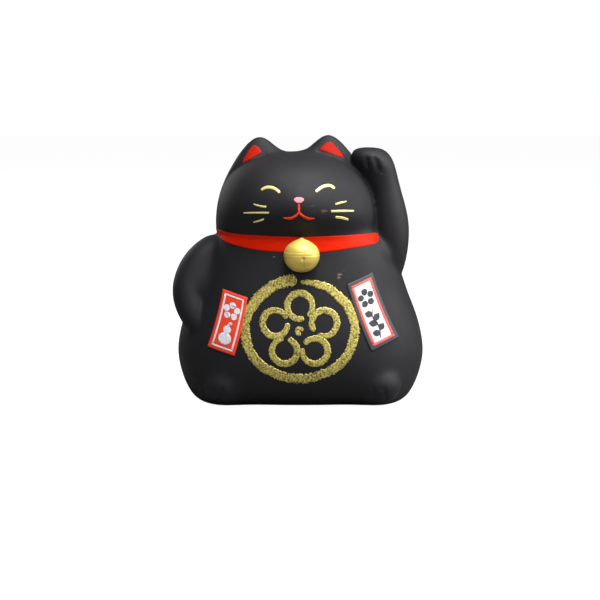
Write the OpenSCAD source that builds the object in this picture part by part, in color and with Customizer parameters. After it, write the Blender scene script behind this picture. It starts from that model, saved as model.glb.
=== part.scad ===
// Beckoning cat: a hollow slip-cast earthenware figure that is also a coin bank.
// +X is the side of the raised paw, the cat looks along -Y, +Z is up, and it stands on z = 0.

/* [Body] */
// Width across the hips
body_w = 98; // [81:1:118]
// Depth from the belly to the back
body_d = 80; // [66:1:96]
// Height of the joint between the body casting and the head casting
neck_h = 67.2; // [56:0.2:81]
// Wall of both castings
wall = 4; // [3.2:0.1:5]
// Thickness of the casting's floor round the stopper
seat_t = 4; // [3:0.1:5]

/* [Head] */
// Width across the cheeks
head_w = 64.4; // [53.6:0.2:70]
// Depth from the face to the nape
head_d = 63; // [52:1:70]
// Height of the crown above the neck joint
crown_h = 30.3; // [25:0.1:36.5]
// Height of an ear above the crown under it
ear_h = 8.4; // [7:0.1:10]
// Distance between the ears' tips
ear_spread = 28.8; // [24:0.2:34.6]
// How far the muzzle stands out of the face
muzzle_t = 1.6; // [0.8:0.1:2.2]

/* [Arms, feet and tail] */
// Half width of the raised arm at its bend
raised_r = 7.4; // [6.2:0.1:8.8]
// Half width of the resting arm at its elbow
resting_r = 6.2; // [5.2:0.1:7.4]
// How far each foot stands out under the belly
foot_t = 7; // [5.8:0.1:8.4]
// Half width of the tail
tail_r = 4.6; // [3.9:0.1:5.5]

/* [Collar and bell] */
// Height of the collar band under the chin
collar_h = 6.4; // [5.4:0.1:7.6]
// Thickness of the collar band
collar_t = 0.7; // [0.5:0.1:1]
// Diameter of the bell
bell_d = 13.6; // [11.2:0.2:16.4]

/* [Coin slot and stopper] */
// Length of the coin slot
slot_l = 34; // [28:0.5:41]
// Height of the coin slot
slot_h = 5; // [4.6:0.1:6]
// Diameter of the hole in the floor
bore_d = 32; // [26.5:0.5:38.5]
// Width of the seat under the stopper's flange
flange_w = 3; // [2.2:0.1:3.6]
// Depth of the recess that keeps the flange off the table
recess_h = 2.8; // [2.2:0.1:3.4]
// Wall of the stopper
stopper_wall = 1.6; // [1.3:0.1:2]
// How far the stopper reaches past its seat into the bank
stopper_reach = 3.5; // [2:0.1:5]
// Clearance on the radius between the stopper and its hole
stopper_gap = 0.05; // [0.02:0.01:0.08]

/* [Foil, paint and paper] */
// Width of the brushed ring on the belly
crest_w = 45.2; // [37.6:0.2:50]
// Height of the brushed ring
crest_h = 40; // [33.2:0.2:45]
// Width of the brush's stroke in the ring
ring_stroke = 3.7; // [3:0.1:4.4]
// Width of a paper charm
charm_w = 10.4; // [8.6:0.2:12]
// Length of a paper charm
charm_l = 23; // [19:0.5:27.5]
// Black margin round the white charm
charm_margin = 1.3; // [1:0.1:2]
// Thickness of a paper charm
charm_t = 0.3; // [0.2:0.05:0.4]
// Thickness of the gold foil
foil_t = 0.2; // [0.15:0.05:0.3]
// Thickness of a painted stroke
paint_t = 0.2; // [0.15:0.05:0.3]

/* [Hidden] */

black = "#2b2a2d";
red = "#d3260f";
gold = "#c9b040";
pink = "#e58a8a";

ring_n = 64;       // points round a casting
limb_n = 28;       // points round an arm or the tail
squareness = 2.3;  // exponent of the castings' rounded plan
dome_n = 2.6;      // exponent of the head's rounded profile
key = 0.14;        // foil, paint and paper are bedded this deep in the skin
body_shift = 0.8;  // the hips lie this far to +X of the figure's middle
head_shift = -0.6;

half_w = body_w / 2;
half_d = body_d / 2;
cheek = head_w / 2;
face_d = 0.57 * head_d;
nape_d = head_d - face_d;
floor_t = seat_t + recess_h;

// The body's outline: [share of neck_h, then shares of the half width, belly and back]
body_rows = [
    [0.00, 0.835, 0.560, 0.760],
    [0.03, 0.885, 0.715, 0.855],
    [0.08, 0.928, 0.840, 0.925],
    [0.15, 0.968, 0.935, 0.970],
    [0.27, 1.000, 1.000, 1.000],
    [0.39, 0.982, 1.000, 0.995],
    [0.51, 0.935, 0.965, 0.960],
    [0.63, 0.870, 0.915, 0.900],
    [0.75, 0.815, 0.860, 0.830],
    [0.87, 0.755, 0.805, 0.760],
    [1.00, 0.655, 0.755, 0.690]
];

// ---- Curves ----

function bump(v) = exp(-v * v);
function fade(v) = let (t = min(max(v, 0), 1)) t * t * (3 - 2 * t);
function rounded(v, e) = sign(v) * pow(abs(v), e);

function span_of(rows, s, i = 0) =
    (i >= len(rows) - 2 || s < rows[i + 1][0]) ? i : span_of(rows, s, i + 1);

function slope(rows, i) =
    let (a = rows[max(i - 1, 0)], b = rows[min(i + 1, len(rows) - 1)])
    (b - a) / (b[0] - a[0]);

// A smooth curve through rows whose first column rises; it carries the other columns
function along(rows, s) =
    let (i = span_of(rows, s), a = rows[i], b = rows[i + 1], w = b[0] - a[0], t = (s - a[0]) / w)
    a * (2 * t^3 - 3 * t^2 + 1) + slope(rows, i) * w * (t^3 - 2 * t^2 + t)
    + b * (3 * t^2 - 2 * t^3) + slope(rows, i + 1) * w * (t^3 - t^2);

// A level outline with n points, anticlockwise from +X, with its own reach to the front and back
function outline(n, centre, half_x, front, back, exponent = 2) =
    [for (i = [0 : n - 1])
        let (c = rounded(cos(i * 360 / n), 2 / exponent), s = rounded(sin(i * 360 / n), 2 / exponent))
        centre + [half_x * c, (s < 0 ? front : back) * s, 0]];

// ---- Solids from outlines ----

function band_faces(n, low, high) =
    [for (i = [0 : n - 1]) let (j = (i + 1) % n) each
        [[low + i, high + i, high + j], [low + i, high + j, low + j]]];

function middle(ring) = [for (k = [0 : 2]) [for (p = ring) p[k]] * [for (p = ring) 1] / len(ring)];

// A closed solid through rings of equal length, with its two ends closed
module loft(rings) {
    n = len(rings[0]);
    m = len(rings);
    polyhedron(
        points = concat([for (r = rings) each r], [middle(rings[0]), middle(rings[m - 1])]),
        faces = concat(
            [for (k = [0 : m - 2]) each band_faces(n, k * n, (k + 1) * n)],
            [for (i = [0 : n - 1]) [m * n, i, (i + 1) % n]],
            [for (i = [0 : n - 1]) [m * n + 1, (m - 1) * n + (i + 1) % n, (m - 1) * n + i]]),
        convexity = 8);
}

// A closed solid through sections whose last one joins the first
module hoop(sections) {
    n = len(sections[0]);
    m = len(sections);
    polyhedron(
        points = [for (s = sections) each s],
        faces = [for (k = [0 : m - 1]) each band_faces(n, k * n, ((k + 1) % m) * n)],
        convexity = 8);
}

// An arm or tail: level rounds through rows of [height, x, y, half width, half depth]
module limb(rows, steps) {
    low = rows[0][0];
    rise = rows[len(rows) - 1][0] - low;
    loft([for (i = [0 : steps])
        let (r = along(rows, low + rise * (1 - cos(i * 180 / steps)) / 2))
        outline(limb_n, [r[1], r[2], r[0]], r[3], r[4], r[4])]);
}

// ---- The body's skin ----

foot_x = 0.69 * half_w;
foot_w = 0.22 * half_w;
foot_h = 0.17 * neck_h;
function foot(x, y, z) =
    foot_t * bump((abs(x - body_shift) - foot_x) / foot_w) * bump(z / foot_h) * fade(-y / foot_w);

function body_outline(z, inset = 0) =
    let (r = along(body_rows, z / neck_h))
    outline(ring_n, [body_shift, 0, z], r[1] * half_w - inset, r[2] * half_d - inset,
            r[3] * half_d - inset, squareness);
function body_skin(z) = [for (p = body_outline(z)) p - [0, foot(p[0], p[1], p[2]), 0]];

// y of the body's front over a given x and z
function belly(x, z) =
    let (r = along(body_rows, z / neck_h),
         u = min(abs(x - body_shift) / (r[1] * half_w), 0.999),
         y = -r[2] * half_d * pow(1 - pow(u, squareness), 1 / squareness))
    y - foot(x, y, z);

skin_levels = concat(
    [for (s = [0, 0.012, 0.03, 0.055, 0.085, 0.12]) s * neck_h],
    [for (i = [0 : 18]) neck_h * (0.16 + 0.84 * i / 18)]);
cavity_levels = [for (s = [1, 0.9, 0.78, 0.66, 0.54, 0.42, 0.3, 0.2, 0.1, 0.03, 0])
    floor_t + (neck_h - floor_t) * s];

// The skin goes down past z = 0 and is ground flat there
body_rings = concat([[for (p = body_skin(0)) p - [0, 0, 1]]], [for (z = skin_levels) body_skin(z)]);

// The body as one solid lump, carried a hair into the head's lump so that both cut as one
module body_lump() {
    loft(concat(body_rings, [[for (p = body_skin(neck_h)) p + [0, 0, 0.02]]]));
}

// ---- The head's skin ----

muzzle_z = neck_h + 0.4 * crown_h;
function muzzle(x, z) = muzzle_t * bump(x / (0.2 * cheek)) * bump((z - muzzle_z) / (0.24 * crown_h));
function tuck(z) = 1 - 0.12 * bump((z - neck_h) / (0.16 * crown_h));

ear_mid = -2;
ear_y = -1.5;
ear_out = 1.2 * ear_spread / 2;
ear_in = 0.84 * ear_spread / 2;
ear_front = 6.5;
ear_back = 9;
function ear(x, y, side) =
    let (dx = side * (x - ear_mid) - ear_spread / 2, dy = y - ear_y)
    ear_h * fade(1 - norm([dx / (dx > 0 ? ear_out : ear_in), dy / (dy < 0 ? ear_front : ear_back)]));
function ears(x, y) = ear(x, y, -1) + ear(x, y, 1);

function head_outline(a, inset = 0) =
    let (w = pow(cos(a), 2 / dome_n), z = neck_h + (crown_h - inset) * pow(sin(a), 2 / dome_n))
    outline(ring_n, [head_shift, 0, z], (cheek - inset) * w, (face_d - inset) * w * tuck(z),
            (nape_d - inset) * w, squareness);
function head_skin(a) =
    [for (p = head_outline(a)) p + [0, p[1] < 0 ? -muzzle(p[0], p[2]) : 0, ears(p[0], p[1])]];

// y of the face over a given x and z
function face(x, z) =
    let (w = pow(1 - pow((z - neck_h) / crown_h, dome_n), 1 / dome_n),
         u = min(abs(x - head_shift) / (w * cheek), 0.999))
    -face_d * w * tuck(z) * pow(1 - pow(u, squareness), 1 / squareness) - muzzle(x, z);

// z of the crown and ears over a given x and y
function crown(x, y) =
    let (w = pow(pow(abs(x - head_shift) / cheek, squareness)
                 + pow(abs(y) / (y < 0 ? face_d : nape_d), squareness), 1 / squareness))
    neck_h + crown_h * pow(1 - pow(w, dome_n), 1 / dome_n) + ears(x, y);

dome_angles = [0, 2, 5, 9, 14, 20, 26, 32, 37, 42, 46, 50, 54, 58, 62, 66, 70, 74, 78, 82, 86];
hollow_angles = [86, 78, 70, 60, 50, 40, 30, 20, 11, 4, 0];

module head_lump() {
    loft([for (a = dome_angles) head_skin(a)]);
}

// ---- Castings ----

bore_r = bore_d / 2;
recess_r = bore_r + flange_w + 4 * stopper_gap;
slot_z = 0.79 * neck_h;

module stopper_hole() {
    $fn = 96;
    translate([body_shift, 0, -1]) cylinder(r = bore_r, h = floor_t + 2);
    translate([body_shift, 0, -1]) cylinder(r = recess_r, h = recess_h + 1);
}

// The coin slot goes level through the wall of the upper back
module coin_slot() {
    translate([body_shift, 0, slot_z])
        rotate([-90, 0, 0])
            linear_extrude(half_d + 5)
                square([slot_l, slot_h], center = true);
}

module body_casting() {
    color(black)
        difference() {
            loft(concat(body_rings, [for (z = cavity_levels) body_outline(z, wall)]));
            translate([0, 0, -5]) cube([2 * body_w, 2 * body_d, 10], center = true);
            stopper_hole();
            coin_slot();
        }
}

module head_casting() {
    color(black)
        loft(concat([for (a = hollow_angles) head_outline(a, wall)],
                    [for (a = dome_angles) head_skin(a)]));
}

// ---- Limbs luted to the castings ----

top_z = neck_h + crown_h;
raised_x = half_w - 12.4;
// The paw leans on the head, so its place follows the head's width
paw_x = head_w / 2 - 4.6;
raised_rows = [
    [0.64 * neck_h, raised_x - 1.5, -4.0, 0.60 * raised_r, 0.80 * raised_r],
    [0.76 * neck_h, raised_x - 1.8, -5.8, 0.90 * raised_r, 1.08 * raised_r],
    [0.88 * neck_h, raised_x - 0.9, -7.2, raised_r, 1.20 * raised_r],
    [neck_h, raised_x - 0.3, -7.6, raised_r, 1.22 * raised_r],
    [neck_h + 0.27 * crown_h, 0.75 * raised_x + 0.25 * paw_x + 0.85, -6.6, 0.95 * raised_r, 1.12 * raised_r],
    [neck_h + 0.54 * crown_h, 0.5 * (raised_x + paw_x) + 0.9, -6.0, 0.95 * raised_r, 1.05 * raised_r],
    [neck_h + 0.75 * crown_h, paw_x + 2.7, -6.6, 1.09 * raised_r, 1.12 * raised_r],
    [neck_h + 0.90 * crown_h, paw_x + 1.0, -7.4, 1.11 * raised_r, 1.16 * raised_r],
    [top_z + 0.2, paw_x, -7.6, 0.95 * raised_r, 0.98 * raised_r],
    [top_z + 1.6, paw_x - 0.4, -7.6, 0.58 * raised_r, 0.58 * raised_r]
];
module raised_lump() {
    limb(raised_rows, 22);
}

resting_x = half_w - 5.4;
resting_rows = [
    [0.390 * neck_h, 4.9 - resting_x, -16.6, 0.34 * resting_r, 0.50 * resting_r],
    [0.420 * neck_h, 4.8 - resting_x, -16.8, 0.66 * resting_r, 0.85 * resting_r],
    [0.460 * neck_h, 3.9 - resting_x, -16.4, 0.82 * resting_r, 1.06 * resting_r],
    [0.520 * neck_h, 2.5 - resting_x, -15.2, 0.95 * resting_r, 1.22 * resting_r],
    [0.570 * neck_h, 1.3 - resting_x, -13.8, 1.01 * resting_r, 1.24 * resting_r],
    [0.620 * neck_h, 0.3 - resting_x, -12.2, 0.98 * resting_r, 1.20 * resting_r],
    [0.690 * neck_h, 0.7 - resting_x, -10.5, 0.98 * resting_r, 1.20 * resting_r],
    [0.770 * neck_h, 2.5 - resting_x, -8.5, resting_r, 1.20 * resting_r],
    [0.840 * neck_h, 4.8 - resting_x, -7.0, 0.95 * resting_r, 1.15 * resting_r],
    [0.920 * neck_h, 8.6 - resting_x, -5.0, 0.80 * resting_r, 1.00 * resting_r],
    [0.990 * neck_h, 12.6 - resting_x, -4.0, 0.50 * resting_r, 0.60 * resting_r]
];
module resting_lump() {
    limb(resting_rows, 22);
}

module raised_arm() {
    color(black)
        difference() {
            raised_lump();
            body_lump();
            head_lump();
        }
}

module resting_arm() {
    color(black)
        difference() {
            resting_lump();
            body_lump();
            head_lump();
        }
}

// The tail lies flat against the lower back and turns up to one side
tail_rows = [
    [1.0, body_shift + 2, half_d - 7.5, 0.8 * tail_r, 0.7 * tail_r],
    [0.09 * neck_h, body_shift + 3, half_d - 4.6, 1.1 * tail_r, 0.9 * tail_r],
    [0.20 * neck_h, body_shift + 5.5, half_d - 2.8, tail_r, 0.9 * tail_r],
    [0.30 * neck_h, body_shift + 8.5, half_d - 2.6, 0.9 * tail_r, 0.85 * tail_r],
    [0.38 * neck_h, body_shift + 10, half_d - 3.0, 0.4 * tail_r, 0.4 * tail_r]
];
module tail() {
    color(black)
        difference() {
            limb(tail_rows, 14);
            body_lump();
        }
}

// ---- Collar and bell ----

function outward(p, d) = p + d * [p[0] - body_shift, p[1], 0] / norm([p[0] - body_shift, p[1]]);

// The brushed band is full under the chin and narrows to the cheeks and the nape.
// Each section follows the skin inside and is crowned outside.
function band_share(i) =
    let (s = -sin(i * 360 / ring_n))
    0.25 + (s > 0 ? 0.75 * pow(s, 1.2) : -0.2 * s);
band_crown = [0.25, 0.85, 1, 0.85, 0.25];

module collar_band() {
    hoop([for (i = [0 : ring_n - 1])
        let (skin = [for (k = [0 : 4]) body_outline(neck_h - collar_h * band_share(i) * k / 4)[i]])
        concat([for (k = [0 : 4]) outward(skin[k], -key)],
               [for (k = [4 : -1 : 0]) outward(skin[k], collar_t * band_crown[k])])]);
}

module collar() {
    color(red)
        difference() {
            collar_band();
            raised_lump();
            resting_lump();
        }
}

bell_r = bell_d / 2;
bell_x = 1.2;
bell_z = neck_h - 1.04 * bell_r;
bell_y = belly(bell_x, bell_z) - 0.3 * bell_r;
rib_w = 0.03 * bell_r;

// Half of the bell's outline, from its foot up to the nib that hangs from the collar
bell_outline = concat(
    [[0, -0.95 * bell_r]],
    [for (a = [-78 : 12 : -6]) bell_r * [cos(a), 0.95 * sin(a)]],
    [[bell_r + rib_w, 0.05 * bell_r], [bell_r + rib_w, 0.15 * bell_r]],
    [for (a = [18 : 12 : 54]) bell_r * [cos(a), 0.84 * sin(a)]],
    [[0.34 * bell_r, 0.8 * bell_r], [0.14 * bell_r, 0.92 * bell_r], [0, bell_r]]);

module bell() {
    slit = 0.16 * bell_r;
    color(gold)
        difference() {
            translate([bell_x, bell_y, bell_z]) rotate_extrude($fn = 64) polygon(bell_outline);
            translate([bell_x - slit / 2, bell_y - 2 * bell_r, bell_z - 1.1 * bell_r])
                cube([slit, 1.6 * bell_r, bell_r]);
            translate([bell_x, bell_y - 0.4 * bell_r, bell_z - 0.12 * bell_r])
                rotate([90, 0, 0]) cylinder(r = 0.95 * slit, h = bell_r, $fn = 32);
            film(on_belly, [for (i = [-7 : 7]) [bell_x, bell_z + i * 0.18 * bell_r, 2.6 * bell_r]],
                 -key, 8, 1.5 * bell_r);
        }
}

// ---- Stopper ----

plug_r = bore_r - stopper_gap;
rim_t = 0.55 * recess_h;
stopper_top = floor_t + stopper_reach;
lead = 0.8;

// A soft cup pushed into the hole from below, with a bar inside it to pull it by
module stopper() {
    cup_r = plug_r - stopper_wall;
    roof = stopper_top - stopper_wall;
    color("#3a3a3c")
        translate([body_shift, 0, 0]) {
            rotate_extrude($fn = 96)
                polygon([[0, stopper_top], [0, roof], [cup_r - lead, roof], [cup_r, roof - lead],
                         [cup_r, recess_h - rim_t], [bore_r + flange_w, recess_h - rim_t],
                         [bore_r + flange_w, recess_h], [plug_r, recess_h],
                         [plug_r, stopper_top - lead], [plug_r - lead, stopper_top]]);
            intersection() {
                translate([-cup_r - 0.5, -stopper_wall / 2, recess_h - rim_t])
                    cube([2 * cup_r + 1, stopper_wall, roof - recess_h + rim_t + 0.5]);
                translate([0, 0, recess_h - rim_t])
                    cylinder(r = cup_r + 0.5, h = stopper_top, $fn = 96);
            }
        }
}

// ---- Foil, paint and paper that lie on the skin ----

function steepness(skin, u, v) =
    let (e = 0.2)
    norm([1, (skin(u + e, v) - skin(u - e, v)) / (2 * e), (skin(u, v + e) - skin(u, v - e)) / (2 * e)]);

on_belly = function (u, v, t) [u, belly(u, v) - t * steepness(function (x, z) belly(x, z), u, v), v];
on_face = function (u, v, t) [u, face(u, v) - t * steepness(function (x, z) face(x, z), u, v), v];
on_crown = function (u, v, t) [u, v, crown(u, v) + t * steepness(function (x, y) crown(x, y), u, v)];

// The two ends of a film, zipped across between its outer and its inner face
function end_faces(n, at, flip) =
    [for (k = [0 : n / 2 - 2])
        each flip ? [[at + n - 2 - k, at + k + 1, at + k], [at + n - 1 - k, at + n - 2 - k, at + k]]
                  : [[at + k, at + k + 1, at + n - 2 - k], [at + k, at + n - 2 - k, at + n - 1 - k]]];

// A film that follows the skin along path points of [u, v, width], bedded to the given depth
module film(place, path, thickness, across = 4, depth = key) {
    last = len(path) - 1;
    n = 2 * (across + 1);
    points = [for (i = [0 : last])
        let (p = path[i], a = path[max(i - 1, 0)], b = path[min(i + 1, last)],
             t = [b[0] - a[0], b[1] - a[1]] / norm([b[0] - a[0], b[1] - a[1]]),
             side = [for (k = [0 : across]) [p[0], p[1]] + [t[1], -t[0]] * p[2] * (k / across - 0.5)])
        each concat([for (k = [0 : across]) place(side[k][0], side[k][1], thickness)],
                    [for (k = [across : -1 : 0]) place(side[k][0], side[k][1], -depth)])];
    polyhedron(
        points = points,
        faces = concat([for (i = [0 : last - 1]) each band_faces(n, i * n, (i + 1) * n)],
                       end_faces(n, 0, false), end_faces(n, last * n, true)),
        convexity = 6);
}

// A brush stroke swells from its start, holds its width and tapers to a tip
function stroke_width(t, w, start = 0.5, tip = 0.35) =
    w * (1 - (1 - start) * (1 - fade(t / 0.18)) - (1 - tip) * fade((t - 0.78) / 0.22));

function arc_path(centre, r, from, to, w, steps, start = 0.5, tip = 0.35) =
    [for (i = [0 : steps]) let (t = i / steps, a = from + (to - from) * t)
        [centre[0] + r * cos(a), centre[1] + r * sin(a), stroke_width(t, w, start, tip)]];

// A curved line through three points, as one pull of the brush
function curve_path(a, b, c, w, steps = 7, start = 0.6, tip = 0.4) =
    [for (i = [0 : steps]) let (t = i / steps, p = a * (1 - t)^2 + b * 2 * t * (1 - t) + c * t^2)
        [p[0], p[1], stroke_width(t, w, start, tip)]];

crest_x = 0.5;
crest_z = 0.475 * neck_h;

// The stroke starts thin at the top, goes round once and ends thick just above its start
module crest_ring() {
    rx = (crest_w - ring_stroke) / 2;
    rz = (crest_h - ring_stroke) / 2;
    color(gold)
        film(on_belly, [for (i = [0 : 64])
            let (t = i / 64, a = 89 - 356 * t, out = 1 + 0.05 * fade((t - 0.85) / 0.15))
            [crest_x + rx * out * cos(a), crest_z + rz * out * sin(a),
             stroke_width(t, ring_stroke, 0.35, 1) * (1 + 0.15 * fade((t - 0.8) / 0.2))]], foil_t);
}

// Five round petals, each one turn of the brush, round a dot
petal_stroke = 2.5;
module crest_blossom() {
    heart = [crest_x, crest_z];
    petal_r = 0.105 * crest_w;
    reach = 0.215 * crest_w;
    color(gold) {
        for (k = [0 : 4]) {
            a = 90 + 72 * k;
            film(on_belly, arc_path(heart + reach * [cos(a), 0.95 * sin(a)], petal_r,
                                    a + 200, a - 140, petal_stroke, 14), foil_t, 3);
        }
        film(on_belly, arc_path(heart, 0.02 * crest_w, 0, 300, 1.9, 8), foil_t, 3);
    }
}

// A charm's middle, its lean to one side, and its size seen from the front;
// it leans less towards its lower end, as it wraps round the belly
charm_bend = 0.08;
function charm_path(x, z, lean, w, l) =
    [for (i = [-5 : 5]) let (t = i / 10)
        [x + l * (t * sin(lean) + sign(lean) * charm_bend * t^2), z + l * t * cos(lean), w]];

// The charms stand to either side of the ring: the red one laps it, the white one stands clear
charm_lap = 0.5;
charm_gap = 0.76;
red_charm_x = crest_x - crest_w / 2 - charm_w / 2 + charm_lap;
white_charm_x = crest_x + crest_w / 2 + charm_w / 2 + charm_gap;

module red_charm() {
    color(red)
        film(on_belly, charm_path(red_charm_x, 0.507 * neck_h, 14.5, charm_w, charm_l),
             charm_t, 8);
}

// The white charm is turned further round the side, so it looks narrower from the front
charm_turn = 0.93;
module white_charm() {
    color("white")
        film(on_belly, charm_path(white_charm_x, 0.557 * neck_h, -21,
                                  charm_turn * (charm_w + 2 * charm_margin),
                                  charm_l + 2 * charm_margin), charm_t, 8);
}

module ear_linings() {
    color(red)
        for (side = [-1, 1]) {
            tip = [ear_mid - 0.6 + side * (ear_spread / 2 + 0.8), ear_y - 2.4];
            foot = [ear_mid - 0.6 + side * (ear_spread / 2 + 1.3), ear_y - 4.9];
            film(on_crown, [for (i = [0 : 6]) let (t = i / 6, p = tip + (foot - tip) * t)
                [p[0], p[1], 1.4 + 7.4 * pow(t, 0.8)]], paint_t);
        }
}

eye_z = neck_h + 0.56 * crown_h;
module eye_strokes() {
    color(gold)
        for (side = [-1, 1])
            film(on_face, curve_path([side * 6.8, eye_z - 0.4], [side * 10.9, eye_z + 2.9],
                                     [side * 14.0, eye_z + 0.5], 1.3), paint_t, 3);
}

whisker_z = neck_h + 0.297 * crown_h;
module whisker_strokes() {
    color(gold)
        for (side = [-1, 1], k = [-1 : 1])
            film(on_face, curve_path([side * (11.5 + 1.6 * abs(k)), whisker_z + 2.3 * k],
                                     [side * (16.2 + 0.2 * abs(k)), whisker_z + 2.8 * k],
                                     [side * (21 - 3.1 * abs(k)), whisker_z + 3.4 * k], 0.8), paint_t, 2);
}

nose_z = neck_h + 0.452 * crown_h;
nose_foot = nose_z - 1.4;
module nose_dab() {
    color(pink)
        film(on_face, [for (i = [0 : 6]) let (t = i / 6)
            [0.2, nose_foot + 2.8 * t, 4.1 * pow(sin(20 + 140 * pow(t, 0.75)), 1.3)]], paint_t);
}

mouth_z = neck_h + 0.3 * crown_h;
module mouth_stroke() {
    color(red) {
        film(on_face, [for (i = [0 : 4]) let (t = i / 4)
            [0.2, (nose_foot - 0.2) * (1 - t) + (mouth_z - 0.4) * t, 0.95]], paint_t, 2);
        for (side = [-1, 1])
            film(on_face, curve_path([0.2, mouth_z], [side * 2.5, mouth_z - 2.6],
                                     [side * 5.8, mouth_z - 2], 1.0), paint_t, 2);
    }
}

body_casting();
head_casting();
raised_arm();
resting_arm();
tail();
collar();
bell();
stopper();
crest_ring();
crest_blossom();
red_charm();
white_charm();
ear_linings();
eye_strokes();
whisker_strokes();
nose_dab();
mouth_stroke();
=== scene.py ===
# %% [markdown]
# # A matte black beckoning cat
# The real object is a slip-cast earthenware coin bank, about ten centimetres high. A potter casts the
# body and the head, lutes on the arms and the tail with wet clay, and fires it all as one piece. It then
# gets a matte black coat, red and gold paint, gold foil on the belly and two paper charms. Its only
# loose piece is the soft stopper in the base. The frame gives the castings' places and sizes, and the
# marks on them are set down as a few points each. This lesson makes the surfaces that one sees.
# Measures are written in millimetres, and `MM` turns them into metres.

# %% Load the frame
import math

import bpy
import numpy as np
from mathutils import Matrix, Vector
from mathutils.bvhtree import BVHTree


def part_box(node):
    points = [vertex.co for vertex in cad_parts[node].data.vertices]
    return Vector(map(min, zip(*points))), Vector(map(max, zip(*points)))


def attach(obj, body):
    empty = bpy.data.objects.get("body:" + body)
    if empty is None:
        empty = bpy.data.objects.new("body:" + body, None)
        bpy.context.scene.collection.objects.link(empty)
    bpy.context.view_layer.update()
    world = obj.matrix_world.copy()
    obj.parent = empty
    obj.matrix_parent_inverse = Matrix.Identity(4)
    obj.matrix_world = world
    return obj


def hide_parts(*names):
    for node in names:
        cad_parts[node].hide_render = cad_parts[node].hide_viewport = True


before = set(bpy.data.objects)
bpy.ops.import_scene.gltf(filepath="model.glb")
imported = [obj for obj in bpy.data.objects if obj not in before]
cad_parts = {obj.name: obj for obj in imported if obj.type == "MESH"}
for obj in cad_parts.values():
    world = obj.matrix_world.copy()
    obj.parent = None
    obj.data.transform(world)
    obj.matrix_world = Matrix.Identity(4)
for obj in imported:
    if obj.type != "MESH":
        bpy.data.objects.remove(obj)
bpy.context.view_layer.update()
MM = 0.001
rng = np.random.default_rng(7)
print("frame loaded with", len(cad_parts), "nodes")

# %% Measure the frame
def box_mm(node):
    low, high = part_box(node)
    return low / MM, high / MM


body_high = box_mm("body_casting")[1]
head_high = box_mm("head_casting")[1]
HIP_X = 0.8
NECK_Z = body_high.z
BACK_Y = body_high.y
print("neck at", round(NECK_Z, 1), "mm, ear tips at", round(head_high.z, 1), "mm")

# %% [markdown]
# ## Small tools
# Operators act on whatever is selected, so each tool first selects exactly what it needs. `edit` opens a
# piece in edit mode with all of it selected, and `apply_modifier` adds a modifier and bakes it in.

# %% Selection and modifiers
def select_only(*pieces):
    if bpy.context.mode != "OBJECT":
        bpy.ops.object.mode_set(mode="OBJECT")
    bpy.ops.object.select_all(action="DESELECT")
    for piece in pieces:
        piece.select_set(True)
    if pieces:
        bpy.context.view_layer.objects.active = pieces[0]


def edit(piece, *steps):
    select_only(piece)
    bpy.ops.object.mode_set(mode="EDIT")
    bpy.ops.mesh.select_all(action="SELECT")
    for step in steps:
        step()
    bpy.ops.object.mode_set(mode="OBJECT")


def face_outwards():
    bpy.ops.mesh.remove_doubles(threshold=0.005 * MM)
    bpy.ops.mesh.normals_make_consistent(inside=False)


def apply_modifier(piece, kind, **settings):
    select_only(piece)
    modifier = piece.modifiers.new(kind.title(), kind)
    for name, value in settings.items():
        setattr(modifier, name, value)
    bpy.ops.object.modifier_apply(modifier=modifier.name)


def join(*pieces):
    select_only(*pieces)
    bpy.ops.object.join()
    return pieces[0]


def settle(piece, name, *materials):
    """Puts a finished piece's place into its mesh, names it, shades it and gives its materials."""
    select_only(piece)
    bpy.ops.object.transform_apply(location=True, rotation=True, scale=True)
    piece.name = name
    piece.data.name = name
    bpy.ops.object.shade_smooth()
    if materials:
        piece.data.materials.clear()
        for material in materials:
            piece.data.materials.append(material)
    print(name, len(piece.data.polygons), "faces")
    return piece


# %% Points in and out of a mesh, in millimetres
def points_of(piece):
    co = np.empty(len(piece.data.vertices) * 3)
    piece.data.vertices.foreach_get("co", co)
    return co.reshape(-1, 3) / MM


def normals_of(piece):
    out = np.empty(len(piece.data.vertices) * 3)
    piece.data.vertices.foreach_get("normal", out)
    return out.reshape(-1, 3)


def set_points(piece, points):
    piece.data.vertices.foreach_set("co", (points * MM).ravel())
    piece.data.update()


# %% [markdown]
# ## The clay body
# On the real cat the castings, arms and tail are one skin, with soft creases where wet clay was luted
# and smoothed. So the two castings are copied from the frame, to keep their exact sizes, and joined to
# limbs that are modelled here. A voxel remesh then acts like the potter's sponge: it turns the lumps
# into one closed skin, and smoothing rounds every joint.

# %% Simple lumps
def block(low, high):
    select_only()
    low, high = Vector(low) * MM, Vector(high) * MM
    bpy.ops.mesh.primitive_cube_add(size=1, location=(low + high) / 2)
    piece = bpy.context.object
    edit(piece, lambda: bpy.ops.transform.resize(value=high - low, center_override=(low + high) / 2))
    select_only(piece)
    bpy.ops.object.transform_apply(location=True, rotation=True, scale=True)
    return piece


def disc(radius, low, high):
    select_only()
    bpy.ops.mesh.primitive_cylinder_add(
        vertices=128, radius=radius * MM, depth=(high - low) * MM,
        location=(HIP_X * MM, 0, (low + high) / 2 * MM))
    return bpy.context.object


def lump(centre, radii, turn=0.0):
    """A ball pulled to three radii and turned about the upright axis."""
    select_only()
    bpy.ops.mesh.primitive_uv_sphere_add(segments=48, ring_count=32, radius=MM)
    piece = bpy.context.object
    edit(piece,
         lambda: bpy.ops.transform.resize(value=radii, center_override=(0, 0, 0)),
         lambda: bpy.ops.transform.rotate(value=math.radians(turn), orient_axis="Z",
                                          center_override=(0, 0, 0)),
         lambda: bpy.ops.transform.translate(value=Vector(centre) * MM))
    return piece


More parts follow.
